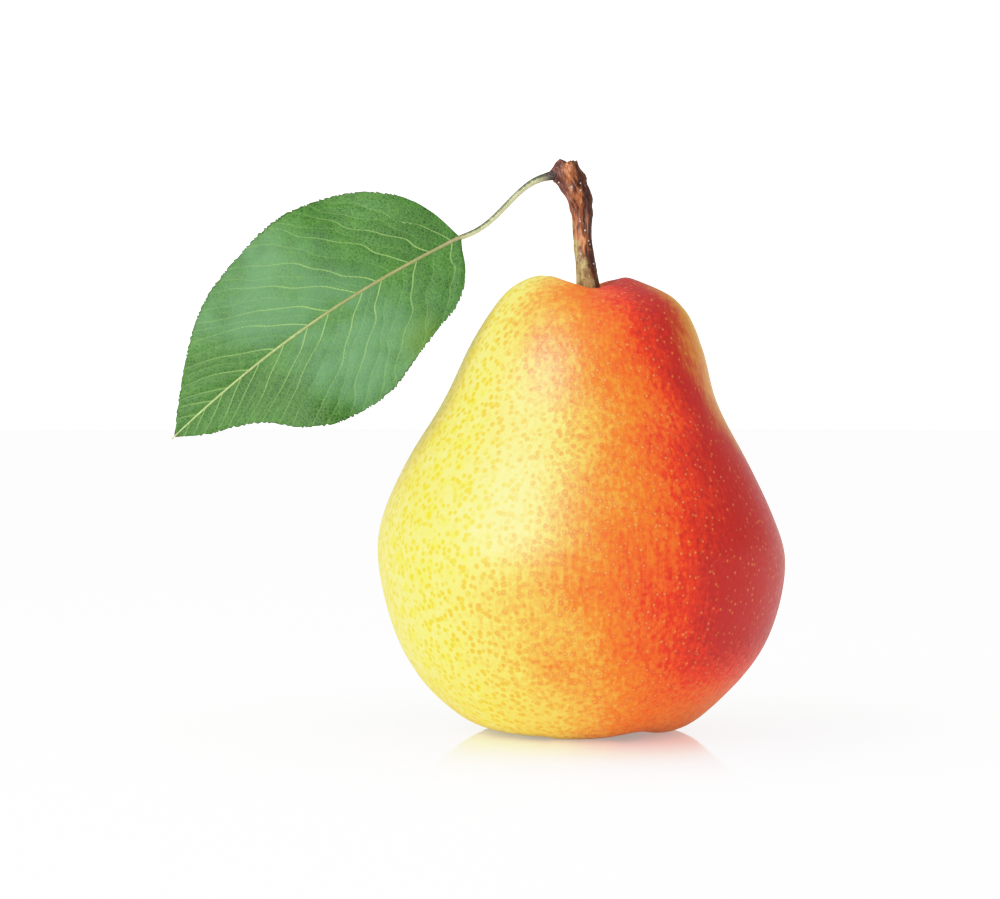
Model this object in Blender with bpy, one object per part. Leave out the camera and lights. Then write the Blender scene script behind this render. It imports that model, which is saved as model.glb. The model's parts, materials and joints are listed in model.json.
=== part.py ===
# A ripe pear as picked: the fruit, its woody stem, one leaf and the dried calyx underneath.
# Metres, +Z up. The fruit stands on z = 0, its front faces -Y and the leaf hangs off to -X.
# The middle of the whole object's box is over the origin.
import math

import bpy
import numpy as np

mm = 0.001
touch_gap = 0.3 * mm  # left between pieces that grow out of each other

# Fruit
fruit_height = 84.0 * mm
fruit_width = 75.6 * mm
fruit_depth = 73.8 * mm
# Its skin from the brow round the stem down to the heel: how high as a share of the height, how far
# out to the left and right as a share of half the width, and to the front and back of half the depth
skin_rows = {
    "brow": (0.977, 0.336, 0.318, 0.320, 0.331),
    "shoulder": (0.943, 0.415, 0.452, 0.423, 0.434),
    "neck": (0.856, 0.543, 0.575, 0.553, 0.566),
    "waist": (0.725, 0.683, 0.653, 0.678, 0.688),
    "flank": (0.594, 0.862, 0.802, 0.840, 0.856),
    "upper_belly": (0.462, 0.989, 0.939, 0.967, 0.984),
    "belly": (0.375, 1.008, 0.992, 0.992, 1.008),
    "lower_belly": (0.199, 0.905, 0.902, 0.900, 0.919),
    "heel": (0.068, 0.706, 0.672, 0.688, 0.705),
}
# The crown is a ring of high skin round the hollow that the stem stands in
crown_radius = 7.2 * mm
crown_tilt = 0.4 * mm  # its right side is this much lower
hollow_depth = 4.6 * mm
hollow_clearance = 1.0 * mm  # round the stem's foot
stem_offset = 1.1 * mm  # the stem leaves the fruit to the right of the core line
furrow_depth = 2.3 * mm  # the crown dips in front of the stem and behind it
furrow_directions = (math.radians(-80), math.radians(98))
furrow_spread = math.radians(40)
# The foot is a flat ring with lobes, round the hollow that holds the calyx
foot_radius = 18.0 * mm
basin_radius = 11.5 * mm
basin_floor_radius = 4.5 * mm
basin_depth = 5.6 * mm
lobe_count = 5
lobe_depth = 0.45 * mm
lobe_turn = math.radians(20)
notch_direction = math.radians(-52)  # one furrow between lobes runs out under the front right
notch_spread = math.radians(21)
notch_lift = 1.3 * mm

# Stem: each ring's height above the foot or drop below the end, sideways shift and radius
stem_length = 25.6 * mm
stem_foot_radius = 2.2 * mm
stem_waist_rise = 11.0 * mm
stem_waist_shift = -1.3 * mm
stem_waist_radius = 1.65 * mm
stem_neck_drop = 9.2 * mm
stem_neck_shift = -1.5 * mm
stem_neck_radius = 2.0 * mm
knob_drop = 4.8 * mm
knob_shift = -3.05 * mm
knob_radius = 2.85 * mm
knob_top_drop = 1.6 * mm
knob_top_shift = -4.2 * mm
knob_top_radius = 2.65 * mm
stem_end_shift = -3.8 * mm
stem_end_radius = 1.6 * mm
stem_depth_ratio = 0.92
stem_ridges = 5
stem_ridge_height = 0.16 * mm
stem_ridge_twist = math.radians(70)

# Leaf stalk: it leaves the knob's left side and runs down to the blade
stalk_start_drop = 3.2 * mm  # below the stem's end
stalk_start_forward = 0.8 * mm
stalk_run = 17.2 * mm
stalk_fall = 11.4 * mm
stalk_forward = 2.0 * mm
stalk_arch = 0.35 * mm  # it rises over the straight line between its ends
stalk_sway = 1.1 * mm  # and swings over it near the knob and under it near the blade
stalk_start_radius = 0.85 * mm
stalk_middle = 0.35  # of the way along, where it has thinned
stalk_middle_radius = 0.50 * mm
stalk_end_radius = 0.42 * mm

# Leaf blade
blade_length = 63.4 * mm
blade_fall = math.radians(34.9)  # below the horizontal
blade_lean = math.radians(20)  # its face looks up as well as forward
blade_advance = math.radians(4)  # the tip comes forward
blade_thickness = 0.6 * mm
margin_thickness_share = 0.35
midrib_radius = 0.55 * mm
midrib_tip_share = 0.2  # of the midrib's radius that is left at the tip
midrib_bow = 1.5 * mm  # it curves towards the upper margin
blade_arch = 3.2 * mm
blade_fold = 0.16  # the halves rise on both sides of the midrib
blade_roll = 7.0  # and roll back towards the margins, per metre
wave_height = 1.1 * mm
waves_per_blade = 2.75
upper_wave_start = math.radians(34)
lower_wave_start = math.radians(138)
upper_half_width = 19.6 * mm
lower_half_width = 20.4 * mm
# Outline of each half: share of the length, share of the half width
upper_margin = (
    (0.0, 0.03), (0.012, 0.30), (0.05, 0.60), (0.11, 0.76), (0.21, 0.92), (0.37, 1.0),
    (0.54, 0.98), (0.68, 0.87), (0.80, 0.58), (0.91, 0.28), (1.0, 0.012),
)
lower_margin = (
    (0.0, 0.03), (0.012, 0.22), (0.04, 0.38), (0.11, 0.60), (0.20, 0.72), (0.32, 0.90),
    (0.44, 1.0), (0.57, 0.94), (0.68, 0.77), (0.78, 0.46), (0.90, 0.25), (1.0, 0.012),
)

# Calyx: a dry disc with sepals, held clear of the hollow's wall and of the surface below
calyx_wall_clearance = 2.6 * mm
calyx_floor_clearance = 2.3 * mm
calyx_disc_radius = 2.0 * mm
calyx_thickness = 0.9 * mm
calyx_tip_thickness = 0.45 * mm
sepal_count = 5
sepal_sharpness = 2.5
sepal_curl = 1.5

# How finely each piece is faceted
fruit_sides = 64
stem_sides = 20
stalk_rings = 12
blade_rings = 34
ring_crowding = 1.3  # rings of the blade stand closer near the stalk
blade_columns = 7  # on each side of the midrib
column_crowding = 1.4  # and closer near the midrib
calyx_sides = 50
calyx_rings = 4


def clear_scene():
    for obj in list(bpy.data.objects):
        bpy.data.objects.remove(obj, do_unlink=True)


def surface(name, colour, roughness):
    material = bpy.data.materials.new(name)
    material.use_nodes = True
    shader = material.node_tree.nodes["Principled BSDF"]
    shader.inputs["Base Color"].default_value = (*colour, 1.0)
    shader.inputs["Roughness"].default_value = roughness
    shader.inputs["Metallic"].default_value = 0.0
    return material


# Makes the piece's object with its own origin, on the pear's frame
def place(name, points, faces, origin, material, frame):
    mesh = bpy.data.meshes.new(name)
    mesh.from_pydata((np.asarray(points) - origin).tolist(), [], faces)
    mesh.shade_smooth()
    mesh.materials.append(material)
    obj = bpy.data.objects.new(name, mesh)
    obj.location = origin
    obj.parent = frame
    bpy.context.scene.collection.objects.link(obj)
    return obj


def cubic_between(start, end, start_slope, end_slope, gap, share):
    squared = share**2
    cubed = share**3
    return (
        start * (2 * cubed - 3 * squared + 1)
        + start_slope * (cubed - 2 * squared + share) * gap
        + end * (3 * squared - 2 * cubed)
        + end_slope * (cubed - squared) * gap
    )


# A smooth curve through all the points, with a number of pieces in each span. Level ends start and
# finish with no change in the last coordinate.
def curve_through(points, pieces, level_ends=False):
    points = np.asarray(points, float)
    gaps = np.linalg.norm(np.diff(points, axis=0), axis=1) ** 0.5
    slopes = np.gradient(points, np.concatenate(([0.0], np.cumsum(gaps))), axis=0)
    if level_ends:
        slopes[[0, -1], -1] = 0.0
    found = [points[0]]
    for span, count in enumerate(pieces):
        for step in range(1, count + 1):
            found.append(cubic_between(
                points[span], points[span + 1], slopes[span], slopes[span + 1],
                gaps[span], step / count,
            ))
    return np.array(found)


# Quads between closed rings of points that lie one after the other
def skin_rings(ring_count, ring_size):
    faces = []
    for ring in range(ring_count - 1):
        near = ring * ring_size
        far = near + ring_size
        for step in range(ring_size):
            after = (step + 1) % ring_size
            faces.append((near + step, near + after, far + after, far + step))
    return faces


# Triangles from one ring to a point in its middle
def fan(centre, first, ring_size, turned):
    faces = []
    for step in range(ring_size):
        pair = (first + step, first + (step + 1) % ring_size)
        faces.append((centre, *(pair[::-1] if turned else pair)))
    return faces


# Rings that close onto a point at both ends. Rings that come down the outside are turned over.
def closed_rings(rings, first_centre, last_centre, downwards):
    ring_size = len(rings[0])
    points = np.vstack([np.reshape(rings, (-1, 3)), [first_centre], [last_centre]])
    ring_points = len(points) - 2
    faces = skin_rings(len(rings), ring_size)
    if downwards:
        faces = [face[::-1] for face in faces]
    faces += fan(ring_points, 0, ring_size, not downwards)
    faces += fan(ring_points + 1, ring_points - ring_size, ring_size, downwards)
    return points, faces


def swell(angle, middle, spread):
    turn = (angle - middle + math.pi) % (2 * math.pi) - math.pi
    return math.exp(-((turn / spread) ** 2))


# How far the skin reaches in one direction, between its reaches to the four sides
def reach_towards(left, right, front, back, angle):
    across = right if math.cos(angle) > 0 else left
    along = back if math.sin(angle) > 0 else front
    return across * math.cos(angle) ** 2 + along * math.sin(angle) ** 2


# Half a slice of the fruit in one direction, from the middle of the stem's hollow over the crown
# and down to the middle of the calyx's. Each row is the shift of its centre, its radius and height.
def fruit_slice(angle):
    dip = furrow_depth * max(swell(angle, middle, furrow_spread) for middle in furrow_directions)
    dip += crown_tilt * (1 + math.cos(angle)) / 2
    lift = notch_lift * swell(angle, notch_direction, notch_spread)
    lobes = lobe_depth * math.cos(lobe_count * (angle - lobe_turn))

    def skin(name, dip_share=0.0, lift_share=0.0):
        height, left, right, front, back = skin_rows[name]
        reach = reach_towards(
            left * fruit_width, right * fruit_width, front * fruit_depth, back * fruit_depth, angle
        ) / 2
        return (0.0, reach + lobes * lift_share, height * fruit_height - dip * dip_share + lift * lift_share)

    hollow_floor = fruit_height - hollow_depth
    hollow_radius = stem_foot_radius + hollow_clearance
    hollow_middle = (hollow_radius + crown_radius) / 2
    basin_middle = (basin_radius + basin_floor_radius) / 2
    rows = [
        ((stem_offset, 0.0, hollow_floor), 0),
        ((stem_offset, hollow_radius, hollow_floor + 0.06 * hollow_depth), 2),
        ((0.7 * stem_offset, hollow_middle, hollow_floor + 0.58 * hollow_depth - 0.6 * dip), 3),
        ((0.3 * stem_offset, crown_radius, fruit_height - dip), 3),
        (skin("brow", dip_share=0.75), 4),
        (skin("shoulder", dip_share=0.35), 3),
        (skin("neck"), 4),
        (skin("waist"), 4),
        (skin("flank"), 4),
        (skin("upper_belly"), 4),
        (skin("belly"), 3),
        (skin("lower_belly", lift_share=0.1), 5),
        (skin("heel", lift_share=0.45), 5),
        ((0.0, foot_radius + lobes, lift), 3),
        ((0.0, basin_radius + lobes, lift), 2),
        ((0.0, basin_middle, 0.55 * basin_depth + 0.3 * lift), 2),
        ((0.0, basin_floor_radius, 0.94 * basin_depth), 2),
        ((0.0, 0.0, basin_depth), 1),
    ]
    return curve_through([row for row, _ in rows], [count for _, count in rows[1:]], level_ends=True)


def build_fruit(frame):
    slices = []
    for side in range(fruit_sides):
        angle = 2 * math.pi * side / fruit_sides
        shift, radius, height = fruit_slice(angle).T
        across = shift + radius * math.cos(angle)
        slices.append(np.stack([across, radius * math.sin(angle), np.maximum(height, 0.0)], axis=1))
    rings = np.array(slices).transpose(1, 0, 2)
    points, faces = closed_rings(rings[1:-1], rings[0, 0], rings[-1, 0], downwards=True)
    skin = surface("pear_skin", (0.86, 0.45, 0.08), 0.32)
    return place("pear_fruit", points, faces, np.zeros(3), skin, frame)


def stem_foot():
    return np.array([stem_offset, 0.0, fruit_height - hollow_depth + touch_gap])


# Height above the foot, sideways shift and radius all along the stem
def stem_spine():
    rows = [
        (0.0, 0.0, stem_foot_radius),
        (stem_waist_rise, stem_waist_shift, stem_waist_radius),
        (stem_length - stem_neck_drop, stem_neck_shift, stem_neck_radius),
        (stem_length - knob_drop, knob_shift, knob_radius),
        (stem_length - knob_top_drop, knob_top_shift, knob_top_radius),
        (stem_length, stem_end_shift, stem_end_radius),
    ]
    return curve_through(rows, [6, 4, 4, 3, 2])


def build_stem(frame):
    spine = stem_spine()
    rings = []
    for rise, shift, radius in spine:
        ring = []
        for side in range(stem_sides):
            angle = 2 * math.pi * side / stem_sides
            twist = stem_ridge_twist * rise / stem_length
            bark = radius + stem_ridge_height * math.cos(stem_ridges * angle + twist)
            ring.append((shift + bark * math.cos(angle), bark * stem_depth_ratio * math.sin(angle), rise))
        rings.append(ring)
    ends = [(spine[end, 1], 0.0, spine[end, 0]) for end in (0, -1)]
    points, faces = closed_rings(rings, *ends, downwards=False)
    bark = surface("stem_bark", (0.23, 0.09, 0.035), 0.55)
    return place("stem", points + stem_foot(), faces, stem_foot(), bark, frame)


# The leaf's own directions: along the blade, towards its upper margin and out of its face
def leaf_directions():
    along = np.array([-math.cos(blade_fall), 0.0, -math.sin(blade_fall)])
    along = along * math.cos(blade_advance) + np.array([0.0, -math.sin(blade_advance), 0.0])
    upward = np.array([-math.sin(blade_fall), 0.0, math.cos(blade_fall)])
    across = upward * math.cos(blade_lean) + np.array([0.0, math.sin(blade_lean), 0.0])
    across -= along * across.dot(along)
    across /= np.linalg.norm(across)
    return along, across, np.cross(across, along)


def margin_width(margin, half_width, share):
    shares, widths = np.array(margin).T
    slopes = np.gradient(widths, shares)
    span = int(np.clip(np.searchsorted(shares, share) - 1, 0, len(shares) - 2))
    gap = shares[span + 1] - shares[span]
    return half_width * cubic_between(
        widths[span], widths[span + 1], slopes[span], slopes[span + 1],
        gap, (share - shares[span]) / gap,
    )


# How far the blade's middle layer stands off its flat plane
def blade_offset(share, side):
    arch = blade_arch * math.sin(math.pi * share)
    fold = blade_fold * abs(side) - blade_roll * side**2
    start = upper_wave_start if side > 0 else lower_wave_start
    reach = (side / lower_half_width) ** 2
    return arch + fold + wave_height * reach * math.sin(2 * math.pi * waves_per_blade * share + start)


# One loop of points round the leaf: over its face from the lower margin to the upper, then back
# along the underside
def leaf_ring(middle, directions, widths, half_thickness, rib_radius=0.0, offset_at=lambda side: 0.0):
    _, across, out = directions
    lower, upper = widths
    face = []
    under = []
    for column in range(-blade_columns, blade_columns + 1):
        share = math.copysign((abs(column) / blade_columns) ** column_crowding, column)
        side = share * (upper if column > 0 else lower)
        round_share = math.sqrt(1 - share**2)
        margin = margin_thickness_share + (1 - margin_thickness_share) * round_share
        half = (half_thickness + max(rib_radius - abs(side), 0.0)) * margin
        layer = middle + across * side + out * offset_at(side)
        face.append(layer + out * half)
        under.append(layer - out * half)
    return face + under[::-1]


def stalk_start():
    rises, shifts, radii = stem_spine().T
    rise = stem_length - stalk_start_drop
    knob_side = np.interp(rise, rises, shifts - radii) - stem_ridge_height
    return stem_foot() + np.array([knob_side - touch_gap, -stalk_start_forward, rise])


def stalk_loops(start, base, directions):
    loops = []
    for step in range(stalk_rings):
        share = step / stalk_rings
        rise = stalk_arch * math.sin(math.pi * share) + stalk_sway * math.sin(2 * math.pi * share)
        middle = start + (base - start) * share + np.array([0.0, 0.0, rise])
        radius = np.interp(
            share, [0.0, stalk_middle, 1.0], [stalk_start_radius, stalk_middle_radius, stalk_end_radius]
        )
        loops.append(leaf_ring(middle, directions, (radius, radius), radius))
    return loops


def blade_loops(base, directions):
    along, across, _ = directions
    loops = []
    for step in range(blade_rings + 1):
        share = (step / blade_rings) ** ring_crowding
        bow = midrib_bow * 4 * share * (1 - share)
        widths = (
            margin_width(lower_margin, lower_half_width, share),
            margin_width(upper_margin, upper_half_width, share),
        )
        rib = midrib_radius * (1 - (1 - midrib_tip_share) * share)
        loops.append(leaf_ring(
            base + along * blade_length * share + across * bow, directions, widths,
            blade_thickness / 2, rib, lambda side: blade_offset(share, side),
        ))
    return loops


def build_leaf(frame):
    directions = leaf_directions()
    start = stalk_start()
    base = start + np.array([-stalk_run, -stalk_forward, -stalk_fall])
    loops = stalk_loops(start, base, directions) + blade_loops(base, directions)
    ring_size = len(loops[0])
    points = np.reshape(loops, (-1, 3))
    faces = skin_rings(len(loops), ring_size)
    faces.append(tuple(range(ring_size))[::-1])
    faces.append(tuple(range(len(points) - ring_size, len(points))))
    green = surface("leaf_green", (0.10, 0.27, 0.06), 0.5)
    return place("leaf", points, faces, start, green, frame)


# A dry disc with five sepals that hang out and down from it, over the top first and back under
def build_calyx(frame):
    seat = np.array([0.0, 0.0, basin_depth - touch_gap])
    reach = (basin_radius + basin_floor_radius) / 2 - calyx_wall_clearance
    droop = seat[2] - calyx_tip_thickness - calyx_floor_clearance
    shares = [step / calyx_rings for step in range(1, calyx_rings + 1)]
    rings = []
    for share, under in [(share, 0) for share in shares] + [(share, 1) for share in shares[::-1]]:
        thickness = calyx_thickness + (calyx_tip_thickness - calyx_thickness) * share
        ring = []
        for side in range(calyx_sides):
            angle = 2 * math.pi * side / calyx_sides
            sepal = abs(math.cos(sepal_count * angle / 2)) ** sepal_sharpness
            radius = share * (calyx_disc_radius + (reach - calyx_disc_radius) * sepal)
            height = -droop * (radius / reach) ** sepal_curl - thickness * under
            ring.append((radius * math.cos(angle), radius * math.sin(angle), height))
        rings.append(ring)
    points, faces = closed_rings(rings, (0.0, 0.0, 0.0), (0.0, 0.0, -calyx_thickness), downwards=True)
    husk = surface("calyx_husk", (0.10, 0.065, 0.035), 0.8)
    return place("calyx", points + seat, faces, seat, husk, frame)


# Moves the whole pear so that the middle of its box is over the origin
def centre_over_origin(frame, pieces):
    corners = [np.array(obj.location + vertex.co) for obj in pieces for vertex in obj.data.vertices]
    middle = (np.min(corners, axis=0) + np.max(corners, axis=0)) / 2
    frame.location = (-middle[0], -middle[1], 0.0)


clear_scene()
pear = bpy.data.objects.new("pear", None)
bpy.context.scene.collection.objects.link(pear)
centre_over_origin(pear, [build_fruit(pear), build_stem(pear), build_leaf(pear), build_calyx(pear)])
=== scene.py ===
import json
import math
import bmesh
import bpy
import numpy as np
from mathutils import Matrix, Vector, noise

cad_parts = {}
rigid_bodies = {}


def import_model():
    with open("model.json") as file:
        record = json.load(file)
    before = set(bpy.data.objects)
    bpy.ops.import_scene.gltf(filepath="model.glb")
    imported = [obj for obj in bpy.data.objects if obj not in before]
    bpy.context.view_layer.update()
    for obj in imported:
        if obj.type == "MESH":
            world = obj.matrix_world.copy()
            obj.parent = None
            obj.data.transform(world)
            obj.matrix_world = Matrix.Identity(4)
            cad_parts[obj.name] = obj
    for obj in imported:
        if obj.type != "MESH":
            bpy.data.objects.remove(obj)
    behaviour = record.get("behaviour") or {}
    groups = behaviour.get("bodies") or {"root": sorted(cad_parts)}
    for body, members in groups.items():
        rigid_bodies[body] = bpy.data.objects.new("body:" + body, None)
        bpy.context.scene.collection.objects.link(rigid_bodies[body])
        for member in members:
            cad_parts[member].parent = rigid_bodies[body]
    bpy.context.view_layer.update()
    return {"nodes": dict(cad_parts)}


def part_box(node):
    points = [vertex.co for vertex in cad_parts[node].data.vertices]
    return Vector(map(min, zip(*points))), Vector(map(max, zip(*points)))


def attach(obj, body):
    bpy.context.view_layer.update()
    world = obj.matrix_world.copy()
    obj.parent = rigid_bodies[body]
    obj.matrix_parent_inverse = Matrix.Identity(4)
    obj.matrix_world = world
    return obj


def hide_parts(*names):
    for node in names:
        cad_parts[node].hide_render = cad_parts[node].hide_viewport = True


# A ripe blushed pear on a white table, with its stem, one leaf and the dried calyx underneath.
# Metres, +Z up, the front faces -Y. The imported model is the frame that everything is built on.
for leftover in list(bpy.data.objects):
    bpy.data.objects.remove(leftover)
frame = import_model()
fruitLow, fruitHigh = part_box("pear_fruit")
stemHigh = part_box("stem")[1]
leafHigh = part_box("leaf")[1]
calyxLow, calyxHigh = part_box("calyx")
mm = 0.001
fruitMiddle = (fruitLow + fruitHigh) / 2
coreShift = (0.34 * mm, -0.30 * mm)  # from the box's middle to the core that stem and calyx stand on
fruitCore = Vector((fruitMiddle.x + coreShift[0], fruitMiddle.y + coreShift[1], 0.0))
fruitHeight = fruitHigh.z
print("frame loaded")


def isSocket(value):
    return isinstance(value, bpy.types.NodeSocket)


# Adds a node and gives its outputs
def addNode(tree, kind, links=None, **settings):
    node = tree.nodes.new("ShaderNode" + kind)
    node.location = (180 * (len(tree.nodes) % 12), -220 * (len(tree.nodes) // 12))
    for name, value in settings.items():
        setattr(node, name, value)
    for socket, value in (links or {}).items():
        if isSocket(value):
            tree.links.new(value, node.inputs[socket])
        else:
            node.inputs[socket].default_value = value
    return node.outputs


# The same, in the tree that one of the linked sockets is in
def nextNode(kind, links, **settings):
    tree = next(value.id_data for value in links.values() if isSocket(value))
    return addNode(tree, kind, links, **settings)


def calc(operation, *values):
    return nextNode("Math", dict(enumerate(values)), operation=operation)[0]


def times(first, *others):
    for other in others:
        first = calc("MULTIPLY", first, other)
    return first


def timesPlus(first, second, third):
    return calc("MULTIPLY_ADD", first, second, third)


# Moves a value by up to half the swing either way
def sway(value, mask, swing):
    return calc("ADD", value, timesPlus(mask, swing, -swing / 2))


# Value from low to high turned into 0 to 1 with soft ends
def soften(value, low, high, newLow=0.0, newHigh=1.0):
    return nextNode(
        "MapRange",
        {"Value": value, "From Min": low, "From Max": high, "To Min": newLow, "To Max": newHigh},
        interpolation_type="SMOOTHSTEP",
    )["Result"]


# Mixes another colour over this one, by a mask and an amount
def tint(colour, other, mask, amount=1.0):
    if amount != 1.0:
        mask = times(mask, amount)
    first, second = [shade if isSocket(shade) else (*shade, 1.0) for shade in (colour, other)]
    return nextNode("Mix", {0: mask, 6: first, 7: second}, data_type="RGBA")[2]


# Stops are (position, colour) or (position, value)
def ramp(factor, stops):
    result = nextNode("ValToRGB", {"Fac": factor})["Color"]
    elements = result.node.color_ramp.elements
    while len(elements) < len(stops):
        elements.new(1.0)
    for element, (position, colour) in zip(elements, stops):
        element.position = position
        element.color = (*colour, 1.0) if isinstance(colour, tuple) else (colour, colour, colour, 1.0)
    return result


# Every group takes a vector and some numbers, and gives masks
def newGroup(name, numbers, masks):
    group = bpy.data.node_groups.new(name, "ShaderNodeTree")
    group.interface.new_socket(name="Vector", in_out="INPUT", socket_type="NodeSocketVector")
    for number, value in numbers.items():
        socket = group.interface.new_socket(name=number, in_out="INPUT", socket_type="NodeSocketFloat")
        socket.default_value = value
    for mask in masks:
        group.interface.new_socket(name=mask, in_out="OUTPUT", socket_type="NodeSocketFloat")
    return group, group.nodes.new("NodeGroupInput").outputs, group.nodes.new("NodeGroupOutput").inputs


# Soft blotches: where tissue differs from place to place
def buildPatchyTone():
    group, given, result = newGroup(
        "patchyTone", {"Patch Size": 0.005, "Detail": 2.0, "Low": 0.35, "High": 0.65}, ["Mask"]
    )
    cloud = addNode(group, "TexNoise", {
        "Vector": given["Vector"], "Scale": calc("DIVIDE", 1.0, given["Patch Size"]),
        "Detail": given["Detail"], "Roughness": 0.55,
    })
    group.links.new(soften(cloud[0], given["Low"], given["High"]), result["Mask"])
    return group


# Fibres or streaks that run along Z
def buildFibres():
    group, given, result = newGroup(
        "fibres", {"Fibre Width": 0.001, "Stretch": 8.0, "Low": 0.35, "High": 0.65}, ["Mask"]
    )
    along = calc("DIVIDE", 1.0, given["Stretch"])
    squeeze = addNode(group, "CombineXYZ", {"X": 1.0, "Y": 1.0, "Z": along})
    pulled = addNode(
        group, "VectorMath", {0: given["Vector"], 1: squeeze[0]}, operation="MULTIPLY"
    )
    threads = addNode(group, "TexNoise", {
        "Vector": pulled[0], "Scale": calc("DIVIDE", 1.0, given["Fibre Width"]),
        "Detail": 3.0, "Roughness": 0.6, "Distortion": 0.3,
    })
    group.links.new(soften(threads[0], given["Low"], given["High"]), result["Mask"])
    return group


# Breathing pores: a round spot with a smaller centre, one here and there
def buildPores():
    group, given, result = newGroup(
        "pores", {"Spacing": 0.002, "Spot Size": 0.28, "Centre Size": 0.12, "Softness": 0.08},
        ["Spot", "Centre", "Chance"],
    )
    scale = calc("DIVIDE", 1.0, given["Spacing"])
    cells = addNode(group, "TexVoronoi", {"Vector": given["Vector"], "Scale": scale})
    for name in ("Spot", "Centre"):
        size = given[name + " Size"]
        edge, inner = calc("ADD", size, given["Softness"]), calc("SUBTRACT", size, given["Softness"])
        group.links.new(soften(cells["Distance"], edge, inner), result[name])
    chance = addNode(group, "SeparateColor", {0: cells["Color"]})
    group.links.new(chance[0], result["Chance"])
    return group


# A net of fine lines, as between the cells of a leaf or the cracks of a dry husk
def buildNet():
    group, given, result = newGroup("fineNet", {"Mesh Size": 0.001, "Line Share": 0.08}, ["Mask"])
    scale = calc("DIVIDE", 1.0, given["Mesh Size"])
    cells = addNode(
        group, "TexVoronoi", {"Vector": given["Vector"], "Scale": scale}, feature="DISTANCE_TO_EDGE"
    )
    group.links.new(soften(cells["Distance"], given["Line Share"], 0.0), result["Mask"])
    return group


patchyTone = buildPatchyTone()
fibres = buildFibres()
pores = buildPores()
fineNet = buildNet()


# Places a group with its inputs in their own order
def placeGroup(group, *values):
    return nextNode("Group", dict(enumerate(values)), node_tree=group)


def patches(position, size, detail, low=0.3, high=0.7):
    return placeGroup(patchyTone, position, size, detail, low, high)["Mask"]


def strandMask(position, width, stretch, low=0.3, high=0.7):
    return placeGroup(fibres, position, width, stretch, low, high)["Mask"]


def netMask(position, size, lineShare):
    return placeGroup(fineNet, position, size, lineShare)["Mask"]


def newMaterial(name, **constants):
    material = bpy.data.materials.new(name)
    material.use_nodes = True
    tree = material.node_tree
    shader = tree.nodes["Principled BSDF"]
    for socket, value in constants.items():
        shader.inputs[socket.replace("_", " ")].default_value = value
    return material, tree, shader


def finishShader(shader, colour, roughness, relief, depth):
    bump = nextNode("Bump", {"Strength": 1.0, "Distance": depth, "Height": relief})
    for socket, value in (("Base Color", colour), ("Roughness", roughness), ("Normal", bump[0])):
        shader.id_data.links.new(value, shader.inputs[socket])


def objectPlace(tree):
    return addNode(tree, "TexCoord")["Object"]


# Height and distance from the core, in metres, and the direction round it: 0 at the front, growing
# to the right
def roundFruit(position):
    away = nextNode("VectorMath", {0: position, 1: tuple(fruitCore)}, operation="SUBTRACT")
    x, y, height = nextNode("SeparateXYZ", {0: away[0]})
    reach = calc("SQRT", calc("ADD", times(x, x), times(y, y)))
    around = calc("ARCTAN2", x, times(y, -1.0))
    return height, reach, times(around, 180 / math.pi)


def addObject(name, data):
    made = bpy.data.objects.new(name, data)
    bpy.context.scene.collection.objects.link(made)
    return made


def makePiece(name, points, faces, material, node):
    mesh = bpy.data.meshes.new(name)
    mesh.from_pydata(np.asarray(points).tolist(), [], faces)
    return finishPiece(name, mesh, material, node)


def finishPiece(name, mesh, material, node):
    mesh.materials.clear()
    mesh.materials.append(material)
    mesh.shade_smooth()
    mesh.update()
    piece = addObject(name, mesh)
    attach(piece, "root")
    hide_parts(node)
    return piece


def setAttribute(mesh, name, values):
    attribute = mesh.attributes.new(name, "FLOAT", "POINT")
    attribute.data.foreach_set("value", np.asarray(values, np.float32))


def readAttributes(tree, *names):
    return [addNode(tree, "Attribute", attribute_name=name)["Fac"] for name in names]


# Quads over a grid of points. A tube joins its last column to its first.
def gridFaces(rows, columns, tube=False, first=0, turned=False):
    faces = []
    for row in range(rows - 1):
        for column in range(columns if tube else columns - 1):
            after = (column + 1) % columns
            near = first + row * columns
            far = near + columns
            quad = (near + column, near + after, far + after, far + column)
            faces.append(quad[::-1] if turned else quad)
    return faces


# How far a value has come from low to high, from 0 to 1
def ease(value, low, high):
    return np.clip((value - low) / (high - low), 0, 1)


# Fruit
skin = {
    "smoothing": 2, "relaxing": 10, "endRelaxing": 130,  # rounds of subdividing, then of easing
    "lumpSize": 17 * mm, "lumpHeight": 0.30 * mm,
    "dimpleSize": 5.5 * mm, "dimpleHeight": 0.05 * mm,
    "puckerCount": 9, "puckerHeight": 0.12 * mm, "humpHeight": 0.55 * mm,
    "basinFolds": 10, "basinFoldHeight": 0.15 * mm,
    "poreSpacing": 1.20 * mm, "backSpotSize": 0.38, "blotchSpacing": 2.9 * mm,
    "roughness": (0.36, 0.48), "reliefDepth": 0.06 * mm,
    "rampFrom": -150.0, "rampTo": 70.0,  # directions that the colours below are spread over
}


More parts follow.
